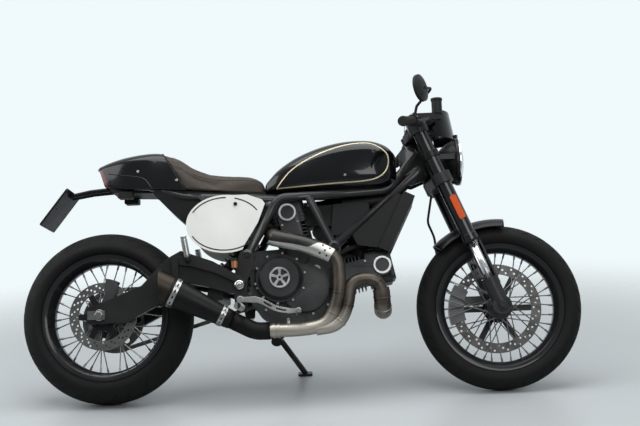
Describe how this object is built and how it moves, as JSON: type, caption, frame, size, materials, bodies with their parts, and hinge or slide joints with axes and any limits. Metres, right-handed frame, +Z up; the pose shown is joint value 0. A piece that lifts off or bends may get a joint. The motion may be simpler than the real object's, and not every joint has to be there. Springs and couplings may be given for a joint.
{
  "type": "cafe racer motorcycle",
  "caption": "Low parked motorcycle with wire wheels, trellis frame, open finned twin engine, clip-on bars, leather solo seat with tail cowl and short side exhaust.",
  "frame": {"origin": "on the floor under the middle of the bounding box of the parked, leaning motorcycle", "axes": "+X forward along the motorcycle, +Y to its left, towards the side it leans to, +Z up from the floor"},
  "size_m": [2.0508, 0.7922, 1.1505],
  "materials": {
    "tyre": "dull black rubber",
    "black_metal": "satin black",
    "gloss_black": "gloss black",
    "black_plastic": "matt black",
    "engine_alloy": "dark grey coated",
    "steel": "brushed",
    "header_steel": "heat-browned",
    "shield_alloy": "brushed",
    "bronze_steel": "dark bronze",
    "leather": "brown",
    "rubber": "matt",
    "lamp_glass": "clear",
    "red_lens": "red",
    "orange_lens": "orange",
    "white_plate": "white"
  },
  "bodies": {
    "chassis": {"chain": "steel", "crankcase": "engine_alloy", "electrics_box": "black_plastic", "engine_covers": "engine_alloy", "exhaust_elbow": "black_metal", "exhaust_headers": "header_steel", "foot_controls": "black_metal", "footrests": "black_metal", "frame": "black_metal", "front_cylinder": "engine_alloy", "fuel_cap": "black_metal", "fuel_tank": "gloss_black", "heat_shield": "shield_alloy", "muffler": "black_metal", "muffler_end_cap": "bronze_steel", "muffler_straps": "steel", "number_plates": "white_plate", "oil_cooler": "black_metal", "plate_holder": "black_plastic", "rear_axle": "steel", "rear_caliper": "engine_alloy", "rear_cylinder": "engine_alloy", "rear_indicators": "black_plastic", "rear_shock": "black_metal", "seat": "leather", "side_covers": "black_plastic", "stand_bracket": "black_metal", "swingarm": "black_metal", "tail_cowl": "gloss_black", "tail_light": "red_lens"},
    "steer": {"fork_outer_tubes": "black_metal", "fork_stanchions": "steel", "fork_feet_and_axle": "black_metal", "fork_clamps": "black_metal", "clip_on_bars": "black_metal", "grips": "rubber", "hand_controls": "black_plastic", "mirrors": "black_plastic", "headlight": "gloss_black", "headlight_lens": "lamp_glass", "flyscreen": "gloss_black", "instrument_dial": "black_plastic", "front_fender": "gloss_black", "front_caliper": "engine_alloy", "front_brake_hose": "rubber", "fork_reflectors": "orange_lens"},
    "front_wheel": {"front_tyre": "tyre", "front_wire_wheel": "black_metal", "front_brake_disc": "steel"},
    "rear_wheel": {"rear_tyre": "tyre", "rear_wire_wheel": "black_metal", "rear_brake_disc": "steel", "rear_sprocket": "steel"},
    "stand": {"side_stand": "black_metal"}
  },
  "joints": [
    {"name": "steering", "type": "hinge", "parent": "chassis", "child": "steer", "pos_m": [0.47491, -0.00316, 0.82394], "axis": [-0.3746, 0.24, 0.8956], "range_deg": [-35, 35]},
    {"name": "front_wheel_spin", "type": "hinge", "parent": "steer", "child": "front_wheel", "pos_m": [0.7255, -0.14573, 0.29189], "axis": [0, 0.9659, -0.2588], "continuous": true},
    {"name": "rear_wheel_spin", "type": "hinge", "parent": "chassis", "child": "rear_wheel", "pos_m": [-0.7105, -0.14155, 0.3075], "axis": [0, 0.9659, -0.2588], "continuous": true},
    {"name": "side_stand_fold", "type": "hinge", "parent": "chassis", "child": "stand", "pos_m": [-0.0985, -0.0387, 0.19676], "axis": [0, 0.9272, 0.3746], "range_deg": [0, 110]}
  ]
}
